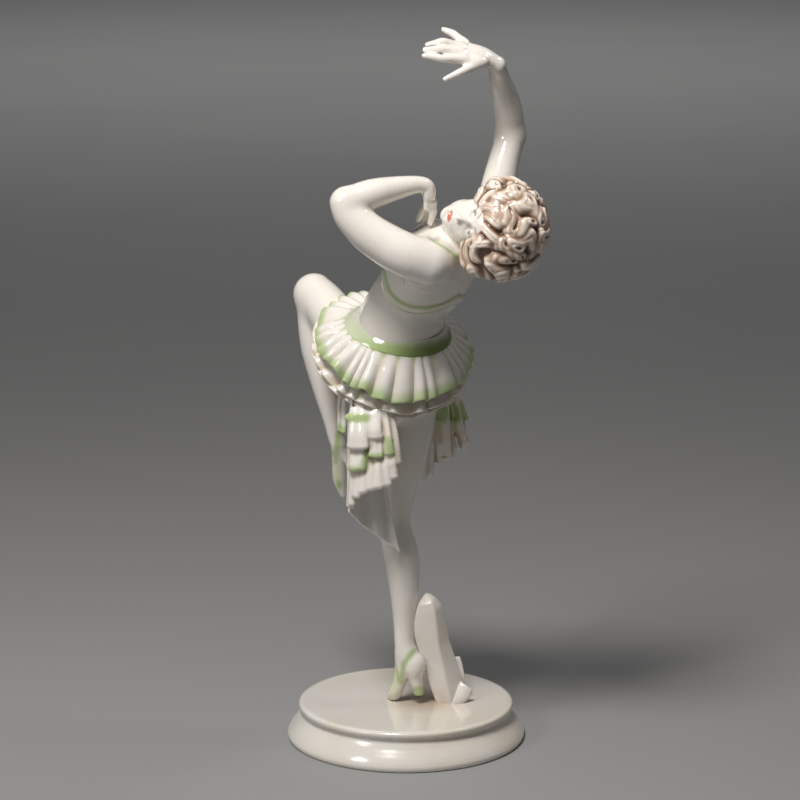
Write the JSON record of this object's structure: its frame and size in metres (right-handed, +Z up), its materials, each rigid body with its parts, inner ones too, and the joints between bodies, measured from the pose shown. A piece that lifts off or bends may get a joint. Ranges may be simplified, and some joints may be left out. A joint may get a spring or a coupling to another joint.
{
  "type": "porcelain dancer figurine",
  "caption": "Glazed porcelain figurine of a dancer in a pleated tutu, back arched, one knee and one arm raised, on a round base.",
  "frame": {"origin": "centre of the round base's flat underside", "axes": "+Z up; -Y towards the viewer of the pictured side, which shows the dancer's back and left arm; +X to that viewer's right, the way she bends back"},
  "size_m": [0.1074, 0.1011, 0.3],
  "materials": {
    "glazed_porcelain": "glazed porcelain, high gloss"
  },
  "bodies": {
    "root": {"figurine": "glazed_porcelain"}
  },
  "joints": []
}
